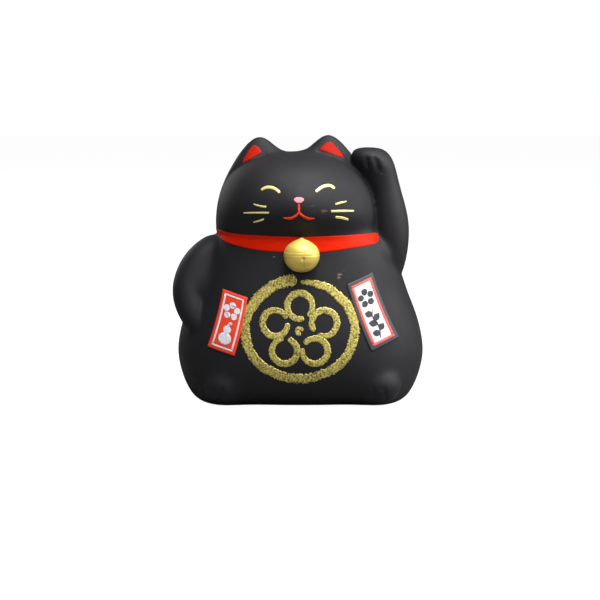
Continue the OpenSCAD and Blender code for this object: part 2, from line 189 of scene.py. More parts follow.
# %% Copy the castings and stop their openings for now
def copy_of(node):
    piece = bpy.data.objects.new(node + "_copy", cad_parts[node].data.copy())
    bpy.context.scene.collection.objects.link(piece)
    piece.data.materials.clear()
    edit(piece, lambda: bpy.ops.mesh.remove_doubles(threshold=0.002 * MM))
    return piece


VOXEL = 0.65
SLOT_Z = 0.79 * NECK_Z
SLOT_HALF_L = 17.0
SLOT_HALF_H = 2.5
SEAT_Z = 2.8
BORE_R = 16.0
RECESS_R = 19.2
PATCH_R = 29.0
SLOT_FROM_Y, SLOT_TO_Y = 18, 45
skin = join(
    copy_of("body_casting"), copy_of("head_casting"),
    block((HIP_X - 19, 20, SLOT_Z - 5), (HIP_X + 19, 26.5, SLOT_Z + 5)),
    block((HIP_X - 12, 24, SLOT_Z - 5), (HIP_X + 12, 30.5, SLOT_Z + 5)),
    disc(RECESS_R + 2, 0.0, 6),
    disc(PATCH_R, NECK_Z - 1.5, NECK_Z + 1.5))
apply_modifier(skin, "REMESH", mode="VOXEL", voxel_size=VOXEL * MM, adaptivity=0)
apply_modifier(skin, "SMOOTH", factor=0.5, iterations=24)
select_only(skin)
bpy.ops.object.duplicate()
plain_castings = bpy.context.object
plain_castings.name = "plain_castings"
print("castings:", len(skin.data.polygons), "faces")

# %% [markdown]
# ## Arms, tail and feet
# A limb grows the way a coil of clay is pulled: a filled circle is extruded ring by ring, and each ring
# is moved and resized before the next. Rings are written as centre x, y, z and half width and half
# depth. A subdivision rounds the coarse rings.

# %% A limb from rings
def limb(rings, sides=20):
    select_only()
    bpy.ops.mesh.primitive_circle_add(vertices=sides, radius=1, fill_type="NGON")
    piece = bpy.context.object
    x, y, z, wide, deep = rings[0]
    bpy.ops.object.mode_set(mode="EDIT")
    bpy.ops.mesh.select_all(action="SELECT")
    bpy.ops.transform.resize(value=(wide * MM, deep * MM, 1), center_override=(0, 0, 0))
    bpy.ops.transform.translate(value=Vector((x, y, z)) * MM)
    for ring in rings[1:]:
        step = (Vector(ring[:3]) - Vector((x, y, z))) * MM
        bpy.ops.mesh.extrude_region_move(TRANSFORM_OT_translate={"value": step})
        bpy.ops.transform.resize(value=(ring[3] / wide, ring[4] / deep, 1),
                                 center_override=Vector(ring[:3]) * MM)
        x, y, z, wide, deep = ring
    bpy.ops.mesh.select_all(action="SELECT")
    face_outwards()
    bpy.ops.object.mode_set(mode="OBJECT")
    apply_modifier(piece, "SUBSURF", levels=2, render_levels=2)
    return piece


# %% The raised arm
raised = limb([
    (34.0, -4.0, NECK_Z - 25, 3.6, 4.8), (34.2, -5.2, NECK_Z - 20, 5.8, 7.6),
    (35.0, -6.6, NECK_Z - 14, 7.2, 9.2), (35.9, -7.4, NECK_Z - 6, 7.6, 9.8),
    (36.2, -7.4, NECK_Z + 2, 7.5, 9.4), (35.2, -6.8, NECK_Z + 9, 7.1, 8.6),
    (33.2, -6.2, NECK_Z + 15.5, 7.1, 8.1), (30.8, -6.6, NECK_Z + 21.5, 8.0, 8.3),
    (29.0, -7.2, NECK_Z + 26.5, 8.5, 8.8), (27.8, -7.5, NECK_Z + 30.2, 7.6, 7.7),
    (27.2, -7.6, NECK_Z + 32.4, 4.6, 4.6)])

# %% The resting arm, with its hand on the hip
resting = limb([
    (-38.2, -17.6, 26.4, 2.0, 2.8), (-38.4, -17.8, 28.4, 4.4, 5.4),
    (-39.0, -17.4, 31.2, 5.9, 7.2), (-40.2, -16.2, 35.2, 7.0, 8.2),
    (-41.4, -14.8, 39.0, 7.4, 8.6), (-42.2, -13.0, 43.5, 7.4, 8.8),
    (-41.8, -11.2, 48.5, 7.3, 8.8), (-40.2, -9.6, 53.2, 7.4, 8.8),
    (-37.8, -8.2, 57.8, 7.2, 8.6), (-34.6, -6.8, 62.0, 6.2, 7.8),
    (-31.4, -5.0, 65.4, 4.0, 5.4)])

# %% The tail, flat against the back
tail = limb([
    (2.8, BACK_Y - 7.0, 0.4, 3.6, 3.0), (3.4, BACK_Y - 5.0, 5.0, 5.0, 4.3),
    (4.8, BACK_Y - 3.6, 10.5, 4.9, 4.3), (7.2, BACK_Y - 3.0, 16.0, 4.5, 4.1),
    (9.4, BACK_Y - 3.0, 21.0, 3.9, 3.7), (10.8, BACK_Y - 3.4, 24.4, 2.0, 2.0)])

# %% Feet, and clay that fills the hollow between shoulder and chest
feet = [lump((29.3, -23.9, 9.6), (10.0, 12.0, 8.8), -20), lump((-26.3, -24.3, 9.4), (10.0, 12.0, 8.6), 20)]
fillings = [lump((-34.0, -9.0, 50.5), (8.8, 9.0, 9.2), 10), lump((-34.5, -13.5, 44), (6.5, 8.0, 10), 10),
            lump((29.5, -13.5, 57), (7.5, 7.0, 8.0), -20)]

# %% Lute everything into one skin
skin = join(skin, raised, resting, tail, *feet, *fillings)
apply_modifier(skin, "REMESH", mode="VOXEL", voxel_size=VOXEL * MM, adaptivity=0)
apply_modifier(skin, "SMOOTH", factor=0.5, iterations=5)
print("luted skin:", len(skin.data.polygons), "faces")

# %% [markdown]
# ## Lines drawn in the wet clay
# Toes and the fold under each ear are drawn with a wooden tool. `press` does the same: it pushes the
# skin in along a line, most of all in its middle, and a negative depth raises it. `sponge` smooths the
# skin round one place only, where the clay of two pieces was wiped together.

# %% Press a line into a surface
def press(piece, line, depth, width):
    points = points_of(piece)
    line = [points[np.linalg.norm(points - spot, axis=1).argmin()] for spot in np.array(line, float)]
    near = np.full(len(points), np.inf)
    for a, b in zip(line[:-1], line[1:]):
        along = np.clip((points - a) @ (b - a) / max((b - a) @ (b - a), 1e-9), 0, 1)
        near = np.minimum(near, np.linalg.norm(points - a - along[:, None] * (b - a), axis=1))
    push = depth * np.exp(-(near / width) ** 2)
    set_points(piece, points - normals_of(piece) * push[:, None])


def sponge(piece, centre, radius, passes):
    """Smooths only near a place, most of all at its centre."""
    reach = np.linalg.norm(points_of(piece) - np.array(centre), axis=1) / radius
    wet = piece.vertex_groups.new(name="wet")
    for i in np.flatnonzero(reach < 1):
        wet.add([int(i)], float(1 - reach[i] ** 2), "REPLACE")
    apply_modifier(piece, "SMOOTH", factor=0.5, iterations=passes, vertex_group="wet")
    piece.vertex_groups.clear()


# %% Soften the shoulder, the hip and the feet
sponge(skin, (-37, -13, 54), 13.5, 130)
sponge(skin, (-34, -17, 47), 10, 50)
sponge(skin, (31, -14, 55), 11, 60)
sponge(skin, (28, -32, 10), 14, 60)
sponge(skin, (-25, -32, 10), 14, 60)

# %% Folds under the ears, and the toes of the raised paw
EAR_FOLD = (0.6, 1.2)
TOE_CUT = (1.0, 0.65)
press(skin, [(-29, -4.5, 86), (-26.1, -5.2, 90), (-22.1, -7.1, 92.6), (-18.1, -8.4, 94.2),
             (-13.6, -7.4, 96.2)], *EAR_FOLD)
press(skin, [(8, -6.7, 97.4), (12.3, -7.9, 96.2), (16.6, -8.6, 94.6), (19.6, -11.5, 92.4)], *EAR_FOLD)
for x, lift in ((23.4, 0.35), (27.9, 0.45), (32.2, 0.45)):
    press(skin, [(x, -17, 95.2), (x + 0.4, -17, 92.6)], -lift, 1.9)
press(skin, [(25.7, -17, 95.6), (25.9, -17, 93.6), (26.4, -16, 92.0)], *TOE_CUT)
press(skin, [(29.9, -17, 95.6), (30.2, -17, 93.4), (31.0, -16, 91.4)], *TOE_CUT)

# %% Faint toes on the feet
for x, lean in ((28.2, 0.8), (33.0, 1.2), (-24.4, -0.8), (-29.4, -1.2)):
    press(skin, [(x, -36, 9.0), (x + lean / 2, -35.5, 6.0), (x + lean, -33, 3.0)], 0.45, 0.8)
apply_modifier(skin, "SMOOTH", factor=0.5, iterations=2)

# %% [markdown]
# ## Hollow, slot and hole
# Slip-cast ware is hollow. Two round cutters empty the body and the head, one bar cuts the coin slot in
# the upper back, and two discs cut the stopper's hole and its recess. The base is ground flat last.

# %% Cut with a tool piece
def cut(piece, tool):
    apply_modifier(piece, "BOOLEAN", operation="DIFFERENCE", solver="MANIFOLD", object=tool)
    bpy.data.objects.remove(tool)


slot_bar = block((HIP_X - SLOT_HALF_L, SLOT_FROM_Y, SLOT_Z - SLOT_HALF_H),
                 (HIP_X + SLOT_HALF_L, SLOT_TO_Y, SLOT_Z + SLOT_HALF_H))
apply_modifier(slot_bar, "BEVEL", width=0.8 * MM, segments=4, limit_method="ANGLE")
cut(skin, lump((HIP_X, 0, NECK_Z / 2), (43.5, 34.5, NECK_Z / 2 - 6.9)))
cut(skin, lump((-0.6, -3, NECK_Z + 7), (26, 25, 19)))
cut(skin, slot_bar)
cut(skin, disc(BORE_R, -2, 13))
cut(skin, disc(RECESS_R, -2, SEAT_Z))
cut(skin, block((-100, -100, -20), (100, 100, 0)))
print("cut skin:", len(skin.data.polygons), "faces")

# %% [markdown]
# ## Materials
# Every finish is procedural. `Finish` starts a material and adds small chains of nodes to it, all of
# them fed by object coordinates or by a stroke's own UV map, so that the finish stays on the piece.

# %% Node helpers
class Finish:
    def __init__(self, name, colour, roughness, metallic=0.0, specular=0.5, uv=False):
        self.material = bpy.data.materials.new(name)
        self.material.use_nodes = True
        self.nodes = self.material.node_tree.nodes
        self.links = self.material.node_tree.links
        self.shader = self.nodes["Principled BSDF"]
        self.set("Base Color", (*colour, 1))
        self.set("Roughness", roughness)
        self.set("Metallic", metallic)
        self.set("Specular IOR Level", specular)
        self.place = self.nodes.new("ShaderNodeTexCoord").outputs["UV" if uv else "Object"]

    def set(self, socket, value):
        self.shader.inputs[socket].default_value = value

    def new(self, kind, **settings):
        node = self.nodes.new("ShaderNode" + kind)
        for name, value in settings.items():
            if hasattr(node, name):
                setattr(node, name, value)
            else:
                socket = node.inputs[name]
                if isinstance(value, bpy.types.NodeSocket):
                    self.links.new(value, socket)
                else:
                    socket.default_value = value
        return node

    def scaled(self, scale):
        """The place, stretched by a scale for each axis."""
        node = self.new("Mapping", Vector=self.place)
        node.inputs["Scale"].default_value = scale
        return node.outputs["Vector"]

    def noise(self, scale, detail=3.0, stretch=(1, 1, 1), roughness=0.55):
        node = self.new("TexNoise", Vector=self.scaled(stretch), Scale=scale, Detail=detail)
        node.inputs["Roughness"].default_value = roughness
        return node.outputs["Fac"]

    def spots(self, scale, stretch=(1, 1, 1)):
        node = self.new("TexVoronoi", Vector=self.scaled(stretch), Scale=scale)
        return node.outputs["Distance"]

    def ramp(self, value, low, high, start=0.0, end=1.0):
        node = self.new("MapRange", Value=value)
        for name, number in zip(("From Min", "From Max", "To Min", "To Max"), (low, high, start, end)):
            node.inputs[name].default_value = number
        return node.outputs["Result"]

    def maths(self, operation, a, b):
        node = self.nodes.new("ShaderNodeMath")
        node.operation = operation
        for socket, value in zip(node.inputs, (a, b)):
            if isinstance(value, bpy.types.NodeSocket):
                self.links.new(value, socket)
            else:
                socket.default_value = value
        return node.outputs["Value"]

    def blend(self, share, a, b):
        node = self.nodes.new("ShaderNodeMix")
        node.data_type = "RGBA"
        for socket, value in zip((node.inputs["Factor"], node.inputs[6], node.inputs[7]), (share, a, b)):
            if isinstance(value, bpy.types.NodeSocket):
                self.links.new(value, socket)
            elif isinstance(value, tuple):
                socket.default_value = (*value, 1)
            else:
                socket.default_value = value
        return node.outputs[2]

    def bump(self, height, distance, strength=1.0):
        node = self.new("Bump", Height=height, Distance=distance, Strength=strength)
        if self.shader.inputs["Normal"].is_linked:
            self.links.new(self.shader.inputs["Normal"].links[0].from_socket, node.inputs["Normal"])
        self.links.new(node.outputs["Normal"], self.shader.inputs["Normal"])

    def drive(self, socket, value):
        self.links.new(value, self.shader.inputs[socket])


# %% Matte black coat on fired clay
BLACK = (0.0185, 0.018, 0.020)
TAN, BLUISH, BROWN = (0.22, 0.16, 0.07), (0.10, 0.12, 0.16), (0.07, 0.045, 0.032)
# Worn places: x, y, z and reach in millimetres, then the tone that shows through
WEAR = ((16.9, -32.1, 51.6, 2.6, TAN), (35.1, -30, 5.7, 1.5, TAN), (-9.2, -31.2, 59.5, 0.8, BLUISH),
        (-18.2, -22.6, 89.3, 1.4, TAN), (5.5, -35.5, 77.9, 1.6, BROWN), (9.8, -34.2, 76.8, 1.8, BROWN),
        (17.2, -30.2, 78.5, 1.5, BROWN), (32.1, -13.5, 89.8, 2.0, TAN))
coat = Finish("matte_black_coat", BLACK, 0.62, specular=0.26)
cloud = coat.noise(35, 3)
specks = coat.ramp(coat.spots(420), 0.05, 0.025)
few = coat.ramp(coat.noise(150, 2), 0.60, 0.68)
dust = coat.maths("MULTIPLY", specks, few)
colour = coat.blend(cloud, (0.0080, 0.0077, 0.0092), (0.0115, 0.0111, 0.0128))
colour = coat.blend(coat.maths("MULTIPLY", dust, 0.5), colour, (0.16, 0.15, 0.13))
low_edge = coat.new("SeparateXYZ", Vector=coat.place).outputs["Z"]
worn = coat.maths("MULTIPLY", coat.ramp(low_edge, 0.0007, 0.0001),
                  coat.ramp(coat.noise(260, 3), 0.45, 0.62))
colour = coat.blend(worn, colour, (0.34, 0.29, 0.24))


def close_to(x, y, z, reach):
    """1 at a place given in millimetres, 0 from reach outwards."""
    gap = coat.new("VectorMath", operation="DISTANCE")
    coat.links.new(coat.place, gap.inputs[0])
    gap.inputs[1].default_value = (x * MM, y * MM, z * MM)
    return coat.ramp(gap.outputs["Value"], reach * MM, 0.4 * reach * MM)


scratch = coat.ramp(coat.noise(520, 3, (0.35, 1, 1.6)), 0.56, 0.62)
for x, y, z, reach, tone in WEAR:
    colour = coat.blend(coat.maths("MULTIPLY", close_to(x, y, z, reach), scratch), colour, tone)
coat.drive("Base Color", colour)
coat.drive("Roughness", coat.ramp(coat.noise(60, 4), 0.3, 0.7, 0.57, 0.69))
coat.bump(coat.noise(2600, 2), 0.00006, 0.35)
coat.bump(coat.noise(380, 3), 0.00012, 0.25)

# %% Red paint, brushed on
def paint(name, light, dark, roughness, streak=(1, 1, 1)):
    finish = Finish(name, light, roughness, specular=0.08)
    pull = finish.noise(260, 4, streak)
    finish.drive("Base Color", finish.blend(finish.ramp(pull, 0.35, 0.65), dark, light))
    finish.bump(pull, 0.00008, 0.35)
    finish.bump(finish.noise(1900, 2), 0.00003, 0.3)
    return finish.material


RED = (0.60, 0.015, 0.001)
DARK_RED = (0.50, 0.010, 0.0005)
collar_red = paint("red_paint_collar", RED, DARK_RED, 0.5, (0.3, 0.3, 2.5))
ear_red = paint("red_paint_ears", (0.37, 0.008, 0.0005), (0.31, 0.006, 0.0005), 0.55, (2, 2, 0.4))
mouth_red = paint("red_paint_mouth", (0.72, 0.05, 0.012), (0.55, 0.03, 0.01), 0.45)
nose_pink = paint("pink_paint_nose", (0.80, 0.30, 0.34), (0.72, 0.22, 0.27), 0.4)

# %% Gold paint with brush streaks along the stroke
def gold_paint(name, light, dark, uv, stretch, roughness=0.42, metallic=0.35, scale=40):
    finish = Finish(name, light, roughness, metallic, uv=uv)
    pull = finish.noise(scale, 4, stretch)
    finish.drive("Base Color", finish.blend(finish.ramp(pull, 0.33, 0.62), dark, light))
    finish.drive("Roughness", finish.ramp(pull, 0.3, 0.7, roughness + 0.12, roughness - 0.06))
    finish.bump(pull, 0.00006, 0.5)
    return finish.material


stroke_gold = gold_paint("gold_paint_strokes", (0.84, 0.72, 0.31), (0.60, 0.47, 0.16), True,
                         (1, 0.25, 1), scale=6)
bell_gold = gold_paint("gold_paint_bell", (0.74, 0.58, 0.13), (0.56, 0.41, 0.08), False,
                       (0.35, 0.35, 4.0), scale=170)

# %% Gold foil, full of specks and short cross lines
foil = Finish("gold_foil_speckled", (0.62, 0.52, 0.13), 0.4, 0.4, uv=True)
cross = foil.noise(1.0, 2, (210, 3.2, 1))
grain = foil.new("TexNoise", Vector=foil.nodes.new("ShaderNodeTexCoord").outputs["Object"], Scale=1500.0,
                 Detail=2.0).outputs["Fac"]
broad = foil.new("TexNoise", Vector=foil.nodes.new("ShaderNodeTexCoord").outputs["Object"], Scale=90.0,
                 Detail=2.0).outputs["Fac"]
lines = foil.ramp(cross, 0.47, 0.38)
pits = foil.ramp(grain, 0.45, 0.36)
holes = foil.maths("MAXIMUM", foil.maths("MULTIPLY", lines, 0.75), pits)
holes = foil.maths("MULTIPLY", holes, foil.ramp(broad, 0.3, 0.7, 0.35, 1.0))
gold_mix = foil.blend(foil.ramp(grain, 0.42, 0.66), (0.36, 0.29, 0.06), (0.72, 0.62, 0.18))
foil.drive("Base Color", foil.blend(holes, gold_mix, (0.035, 0.026, 0.012)))
foil.drive("Roughness", foil.ramp(grain, 0.3, 0.7, 0.55, 0.33))
foil.bump(grain, 0.00012, 0.7)
foil.bump(cross, 0.00015, 0.5)

# %% Printed paper, its backing and inks
def paper(name, colour, roughness=0.55):
    finish = Finish(name, colour, roughness, specular=0.35)
    fibre = finish.noise(900, 3, (1, 1, 0.4))
    shade = tuple(c * 0.86 for c in colour)
    finish.drive("Base Color", finish.blend(finish.ramp(fibre, 0.35, 0.65), shade, colour))
    finish.bump(fibre, 0.00003, 0.3)
    return finish.material


charm_red = paper("paper_red_print", (0.70, 0.052, 0.020))
charm_white = paper("paper_white", (0.64, 0.645, 0.69))
charm_grey = paper("paper_backing_grey", (0.048, 0.045, 0.055))
charm_coral = paper("ink_coral", (0.66, 0.095, 0.065))
charm_ink = paper("ink_charcoal", (0.035, 0.035, 0.042))
rubber = Finish("stopper_rubber", (0.045, 0.045, 0.048), 0.62)
rubber.drive("Roughness", rubber.ramp(rubber.noise(300, 3), 0.3, 0.7, 0.55, 0.72))
rubber.bump(rubber.noise(1400, 2), 0.00004, 0.4)

settle(skin, "cat_skin", coat.material)
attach(skin, "figure")
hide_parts("body_casting", "head_casting", "raised_arm", "resting_arm", "tail")

# %% [markdown]
# ## Strokes that lie on the skin
# Paint, foil and paper all follow the skin. Each starts as a grid in front of the cat, its points are
# set along the brush's path, and a shrinkwrap lays it back on the skin. It is then raised in the middle,
# as wet paint stands, and a solidify gives it an edge and beds it in the coat.

# %% A grid shaped by a function
FRONT = -60.0


def sheet(along, across, place):
    """A grid whose point (u, v), u in 0..1 and v in -1..1, goes to place(u, v) = (x, z)."""
    select_only()
    bpy.ops.mesh.primitive_grid_add(x_subdivisions=along, y_subdivisions=across, size=2)
    piece = bpy.context.object
    flat = np.empty(len(piece.data.vertices) * 3)
    piece.data.vertices.foreach_get("co", flat)
    flat = flat.reshape(-1, 3)
    points = np.array([(*place((x + 1) / 2, y), FRONT) for x, y, _ in flat])
    set_points(piece, points[:, [0, 2, 1]])
    piece["across"] = [float(v) for v in flat[:, 1]]
    piece["along"] = [float(v) for v in flat[:, 0]]
    return piece


def lay(piece, target, proud, bed=0.14, crown=0.6):
    """Lays a sheet on a target, raises its middle by proud and closes it below."""
    v, u = np.array(piece["across"]), np.array(piece["along"])
    apply_modifier(piece, "SHRINKWRAP", target=target, wrap_method="PROJECT", use_project_y=True,
                   use_positive_direction=True, use_negative_direction=False)
    normals = normals_of(piece)
    if normals[:, 1].mean() > 0:
        edit(piece, lambda: bpy.ops.mesh.flip_normals())
        normals = normals_of(piece)
    rim = np.maximum(abs(v), abs(u)) ** 6
    rise = proud * (1 - crown * rim)
    set_points(piece, points_of(piece) + normals * rise[:, None])
    del piece["across"], piece["along"]
    apply_modifier(piece, "SOLIDIFY", thickness=(proud + bed) * MM, offset=-1)
    return piece


# %% A brush stroke along a curve
def smooth_line(line, count):
    """A smooth curve through a few points, as evenly spaced points."""
    line = np.array(line, float)
    ends = np.vstack([2 * line[0] - line[1], line, 2 * line[-1] - line[-2]])
    out = []
    for i in range(len(line) - 1):
        p0, p1, p2, p3 = ends[i:i + 4]
        for t in np.linspace(0, 1, 24, endpoint=i == len(line) - 2):
            out.append(0.5 * (2 * p1 + (p2 - p0) * t + (2 * p0 - 5 * p1 + 4 * p2 - p3) * t ** 2
                              + (3 * p1 - p0 - 3 * p2 + p3) * t ** 3))
    out = np.array(out)
    reach = np.concatenate([[0], np.cumsum(np.linalg.norm(np.diff(out, axis=0), axis=1))])
    even = np.linspace(0, reach[-1], count)
    return np.stack([np.interp(even, reach, out[:, k]) for k in range(2)], axis=1)


def brush(line, width, start=1.0, end=1.0, ragged=0.0, step=0.3, across=6, middle=None):
    """A stroke with round ends. Width is full at the middle; start and end scale the ends' widths."""
    line = np.array(line, float)
    length = np.linalg.norm(np.diff(line, axis=0), axis=1).sum()
    count = max(12, int(length / step))
    path = smooth_line(line, count + 1)
    ahead = np.gradient(path, axis=0)
    ahead /= np.linalg.norm(ahead, axis=1)[:, None]
    side = np.stack([-ahead[:, 1], ahead[:, 0]], axis=1)
    t = np.linspace(0, 1, count + 1)
    grow = np.interp(t, [0, 0.35, 0.65, 1], [start, 1, 1, end]) if middle is None else middle(t)
    half = width / 2 * grow
    reach = t * length
    cap_a = np.sqrt(np.clip(1 - (1 - np.clip(reach / (half + 1e-6), 0, 1)) ** 2, 0.02, 1))
    cap_b = np.sqrt(np.clip(1 - (1 - np.clip((length - reach) / (half + 1e-6), 0, 1)) ** 2, 0.02, 1))
    half = half * cap_a * cap_b
    jag = 1 + ragged * rng.uniform(-1, 1, (count + 1, 2))

    def place(u, v):
        i = int(round(u * count))
        shift = half[i] * v * (jag[i, 0] if v > 0 else jag[i, 1])
        return tuple(path[i] + side[i] * shift)

    return sheet(count + 1, across + 1, place)


print("stroke tools ready")

# %% [markdown]
# ## The ring and the blossom in gold foil
# The ring is one turn of a wide brush: it starts thin at the top, goes round to the right and ends thick
# just outside its start. The blossom inside it is five round petals, each one turn of the brush.

# %% The ring
CREST_X, CREST_Z = 0.5, 0.475 * NECK_Z
RING_X, RING_Z = 20.75, 18.15
turns = []
for i in range(73):
    t = i / 72
    angle = math.radians(89 - 356 * t)
    out = 1 + 0.05 * max(0.0, (t - 0.85) / 0.15) ** 1.5
    wave = 1 + 0.006 * math.sin(7 * angle) + 0.004 * math.sin(13 * angle + 1)
    turns.append((CREST_X + RING_X * out * wave * math.cos(angle),
                  CREST_Z + RING_Z * out * wave * math.sin(angle)))
ring = brush(turns, 3.75, ragged=0.2, across=8,
             middle=lambda t: np.interp(t, [0, 0.05, 0.14, 0.45, 0.8, 1],
                                        [0.35, 0.72, 0.92, 0.97, 1.0, 1.16]))
FOIL_RISE = 0.2
lay(ring, skin, FOIL_RISE, crown=0.5)
settle(ring, "crest_ring_visual", foil.material)
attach(ring, "figure")
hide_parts("crest_ring")

# %% The blossom
PETAL_R = 4.75
HEART_R = 0.9
petals = []
for k in range(5):
    lean = 90 + 72 * k
    cx = CREST_X + 9.72 * math.cos(math.radians(lean))
    cz = CREST_Z + 9.23 * math.sin(math.radians(lean))
    turn = [math.radians(lean + 200 - 340 * i / 20) for i in range(21)]
    path = [(cx + PETAL_R * math.cos(a), cz + PETAL_R * math.sin(a)) for a in turn]
    petals.append(lay(brush(path, 2.6, 0.8, 0.7, ragged=0.14), skin, FOIL_RISE, crown=0.5))
heart = brush([(CREST_X + HEART_R * math.cos(a), CREST_Z + HEART_R * math.sin(a))
               for a in np.radians(range(0, 301, 30))], 1.9, ragged=0.1)
petals.append(lay(heart, skin, FOIL_RISE, crown=0.5))
blossom = join(*petals)
settle(blossom, "crest_blossom_visual", foil.material)
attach(blossom, "figure")
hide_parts("crest_blossom")

# %% [markdown]
# ## The face
# The eyes and whiskers are single pulls of a fine brush in pale gold. The nose is one dab of pink, and
# the mouth is a red line that parts to both sides.

# %% Eyes, whiskers, nose and mouth
def paint_group(name, node, material, strokes, proud=0.16):
    pieces = [lay(stroke, skin, proud, crown=0.8) for stroke in strokes]
    piece = join(*pieces)
    settle(piece, name, material)
    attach(piece, "figure")
    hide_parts(node)
    return piece


paint_group("eye_strokes_visual", "eye_strokes", stroke_gold, [
    brush([(-14.1, 84.3), (-12.6, 85.2), (-10.6, 85.4), (-8.6, 84.8), (-6.9, 83.5)],
          1.15, 0.8, 0.95, step=0.2),
    brush([(6.5, 83.8), (8.0, 85.0), (10.0, 85.9), (12.0, 85.9), (13.8, 84.9)], 1.2, 0.95, 0.85, step=0.2)])
paint_group("whisker_strokes_visual", "whisker_strokes", stroke_gold, [
    brush([(-17.0, 79.1), (-14.6, 78.5), (-12.0, 78.2)], 0.72, 0.6, 1.0, step=0.2),
    brush([(-20.9, 75.6), (-16, 75.9), (-11.0, 76.1)], 0.68, 0.7, 1.0, step=0.2),
    brush([(-17.1, 72.2), (-15, 72.8), (-12.9, 73.6)], 0.72, 0.8, 0.9, step=0.2),
    brush([(13.8, 79.1), (16, 79.6), (18.2, 80.0)], 0.78, 0.95, 0.6, step=0.2),
    brush([(12.2, 76.6), (16.5, 76.5), (21.1, 76.3)], 0.9, 1.0, 0.75, step=0.2),
    brush([(13.9, 74.3), (16.5, 73.9), (19.0, 73.0)], 1.0, 0.9, 0.8, step=0.2)])
paint_group("nose_dab_visual", "nose_dab", nose_pink, [
    brush([(-1.65, 81.2), (-0.6, 81.0), (0.2, 80.85), (1.0, 81.0), (2.05, 81.2)],
          2.15, 0.5, 0.5, step=0.15, across=10)],
    proud=0.22)
paint_group("mouth_stroke_visual", "mouth_stroke", mouth_red, [
    brush([(0.2, 79.6), (0.15, 78), (0.2, 76.1)], 0.85, 0.8, 0.8, step=0.2),
    brush([(0.35, 76.6), (-1.2, 75.0), (-3.2, 74.1), (-5.8, 74.3)], 0.95, 0.75, 0.4, step=0.2),
    brush([(0.05, 76.6), (1.7, 75.0), (3.9, 74.0), (6.1, 74.1)], 0.95, 0.75, 0.4, step=0.2)])

# %% Ear linings, painted on the front of each ear
def rounded_triangle(corners, soft=0.22):
    """A sheet that fills a triangle with soft corners: rows run from the top corner to the base."""
    top, left, right = (np.array(c, float) for c in corners)

    def place(u, v):
        s = (v + 1) / 2
        base = left * (1 - s) + right * s
        point = top * (1 - u) + base * u
        middle = (top + left + right) / 3
        corner = max(1 - u, u * (abs(v) ** 3)) ** 3
        return tuple(point + (middle - point) * soft * corner)

    return sheet(25, 21, place)


paint_group("ear_linings_visual", "ear_linings", ear_red, [
    rounded_triangle([(-17.7, 101.0), (-22.9, 92.6), (-13.6, 98.0)]),
    rounded_triangle([(12.5, 102.3), (7.2, 98.6), (18.8, 95.0)])])

# %% [markdown]
# ## The collar and the bell
# The collar is a painted band: full under the chin, narrow at the cheeks and the nape. It starts as an
# open tube round the neck, is pulled on to the castings, and gets its thickness from a solidify.

# %% The collar
select_only()
bpy.ops.mesh.primitive_cylinder_add(vertices=256, radius=40 * MM, depth=MM, end_fill_type="NOTHING",
                                    location=(0, 0, NECK_Z * MM))
collar = bpy.context.object
edit(collar, lambda: bpy.ops.mesh.subdivide(number_cuts=11))
select_only(collar)
bpy.ops.object.transform_apply(location=True, rotation=True, scale=True)
points = points_of(collar)
angle = np.arctan2(points[:, 1], points[:, 0])
across = (points[:, 2] - NECK_Z) * 2
forward = np.clip(-np.sin(angle), -1, 1)
share = 0.25 + np.where(forward > 0, 0.75 * np.abs(forward) ** 1.2, 0.05)
top = NECK_Z - 0.25 + 0.12 * np.sin(5 * angle) + np.exp(-((angle + 2.9) / 0.4) ** 2)
height = 6.2 * share + 0.1 * np.sin(9 * angle + 1)
points[:, 2] = top - height * (1 - across) / 2
points[:, 0] = HIP_X + 45 * np.cos(angle)
points[:, 1] = 45 * np.sin(angle)
set_points(collar, points)
print("collar tube:", len(collar.data.vertices), "points")

# %% Pull the band on to the neck
graph = bpy.context.evaluated_depsgraph_get()
neck_form = BVHTree.FromObject(plain_castings, graph)
points = points_of(collar)
landed = []
for point, v in zip(points, across):
    inward = Vector((HIP_X - point[0], -point[1], 0)).normalized()
    spot = neck_form.ray_cast(Vector(point) * MM, inward)[0]
    rise = 0.05 + 0.25 * (1 - abs(v) ** 4)
    landed.append(np.array(spot) / MM - np.array(inward) * rise)
set_points(collar, np.array(landed))
edit(collar, face_outwards)
apply_modifier(collar, "SMOOTH", factor=0.5, iterations=2)
apply_modifier(collar, "SOLIDIFY", thickness=0.8 * MM, offset=-1)
settle(collar, "collar_visual", collar_red)
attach(collar, "figure")
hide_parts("collar")

# %% [markdown]
# The bell is a solid knob of clay shaped like an onion, with two fine lines round its middle and a slit
# in front. Half of its outline is spun round the upright axis, and the lines are pressed in.

# %% A half outline spun round an upright axis
def spun(name, outline, x, y, steps):
    """The outline is (radius, height) pairs; the axis stands at x, y."""
    mesh = bpy.data.meshes.new(name)
    mesh.from_pydata([((x + r) * MM, y * MM, z * MM) for r, z in outline],
                     [(i, i + 1) for i in range(len(outline) - 1)], [])
    piece = bpy.data.objects.new(name, mesh)
    bpy.context.scene.collection.objects.link(piece)
    centre = (x * MM, y * MM, 0)
    edit(piece,
         lambda: bpy.ops.mesh.spin(steps=steps, angle=2 * math.pi, center=centre, axis=(0, 0, 1)),
         lambda: bpy.ops.mesh.select_all(action="SELECT"), face_outwards)
    return piece


